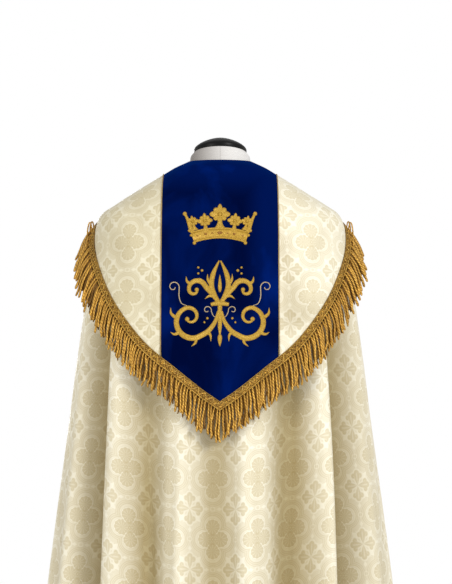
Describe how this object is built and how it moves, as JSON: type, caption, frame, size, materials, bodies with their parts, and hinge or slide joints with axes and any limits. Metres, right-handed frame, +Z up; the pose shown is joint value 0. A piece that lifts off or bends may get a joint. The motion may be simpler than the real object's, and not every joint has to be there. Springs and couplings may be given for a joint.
{
  "type": "cope vestment on a dress form",
  "caption": "Full-length open cloak with a shield-shaped, fringed hood and a tab clasp, displayed on a limbless dress form with a round stand.",
  "frame": {"origin": "on the floor, in the middle of the round base's underside", "axes": "+Z up; +Y the way the wearer would face, so the hood and the back of the cloak face -Y; +X to the wearer's right"},
  "size_m": [0.8156, 0.5919, 1.5638],
  "materials": {
    "damask": "cream damask, tone on tone, with a slight satin sheen",
    "velvet": "deep blue pile velvet",
    "bullion": "twisted old-gold metallic thread",
    "form_cover": "tight white linen jersey",
    "form_cap": "black, satin gloss",
    "steel": "brushed",
    "base_paint": "black, satin"
  },
  "bodies": {
    "root": {"cope_back": "damask", "cope_side_left": "damask", "cope_side_right": "damask", "cope_front_left": "damask", "cope_front_right": "damask", "hood_panel_left": "damask", "hood_panel_right": "damask", "hood_panel_velvet": "velvet", "clasp_tab": "velvet", "hood_fringe": "bullion", "piping_left": "bullion", "piping_right": "bullion", "form_body": "form_cover", "form_neck_cap": "form_cap", "form_pole": "steel", "form_collar": "base_paint", "form_base": "base_paint"}
  },
  "joints": []
}
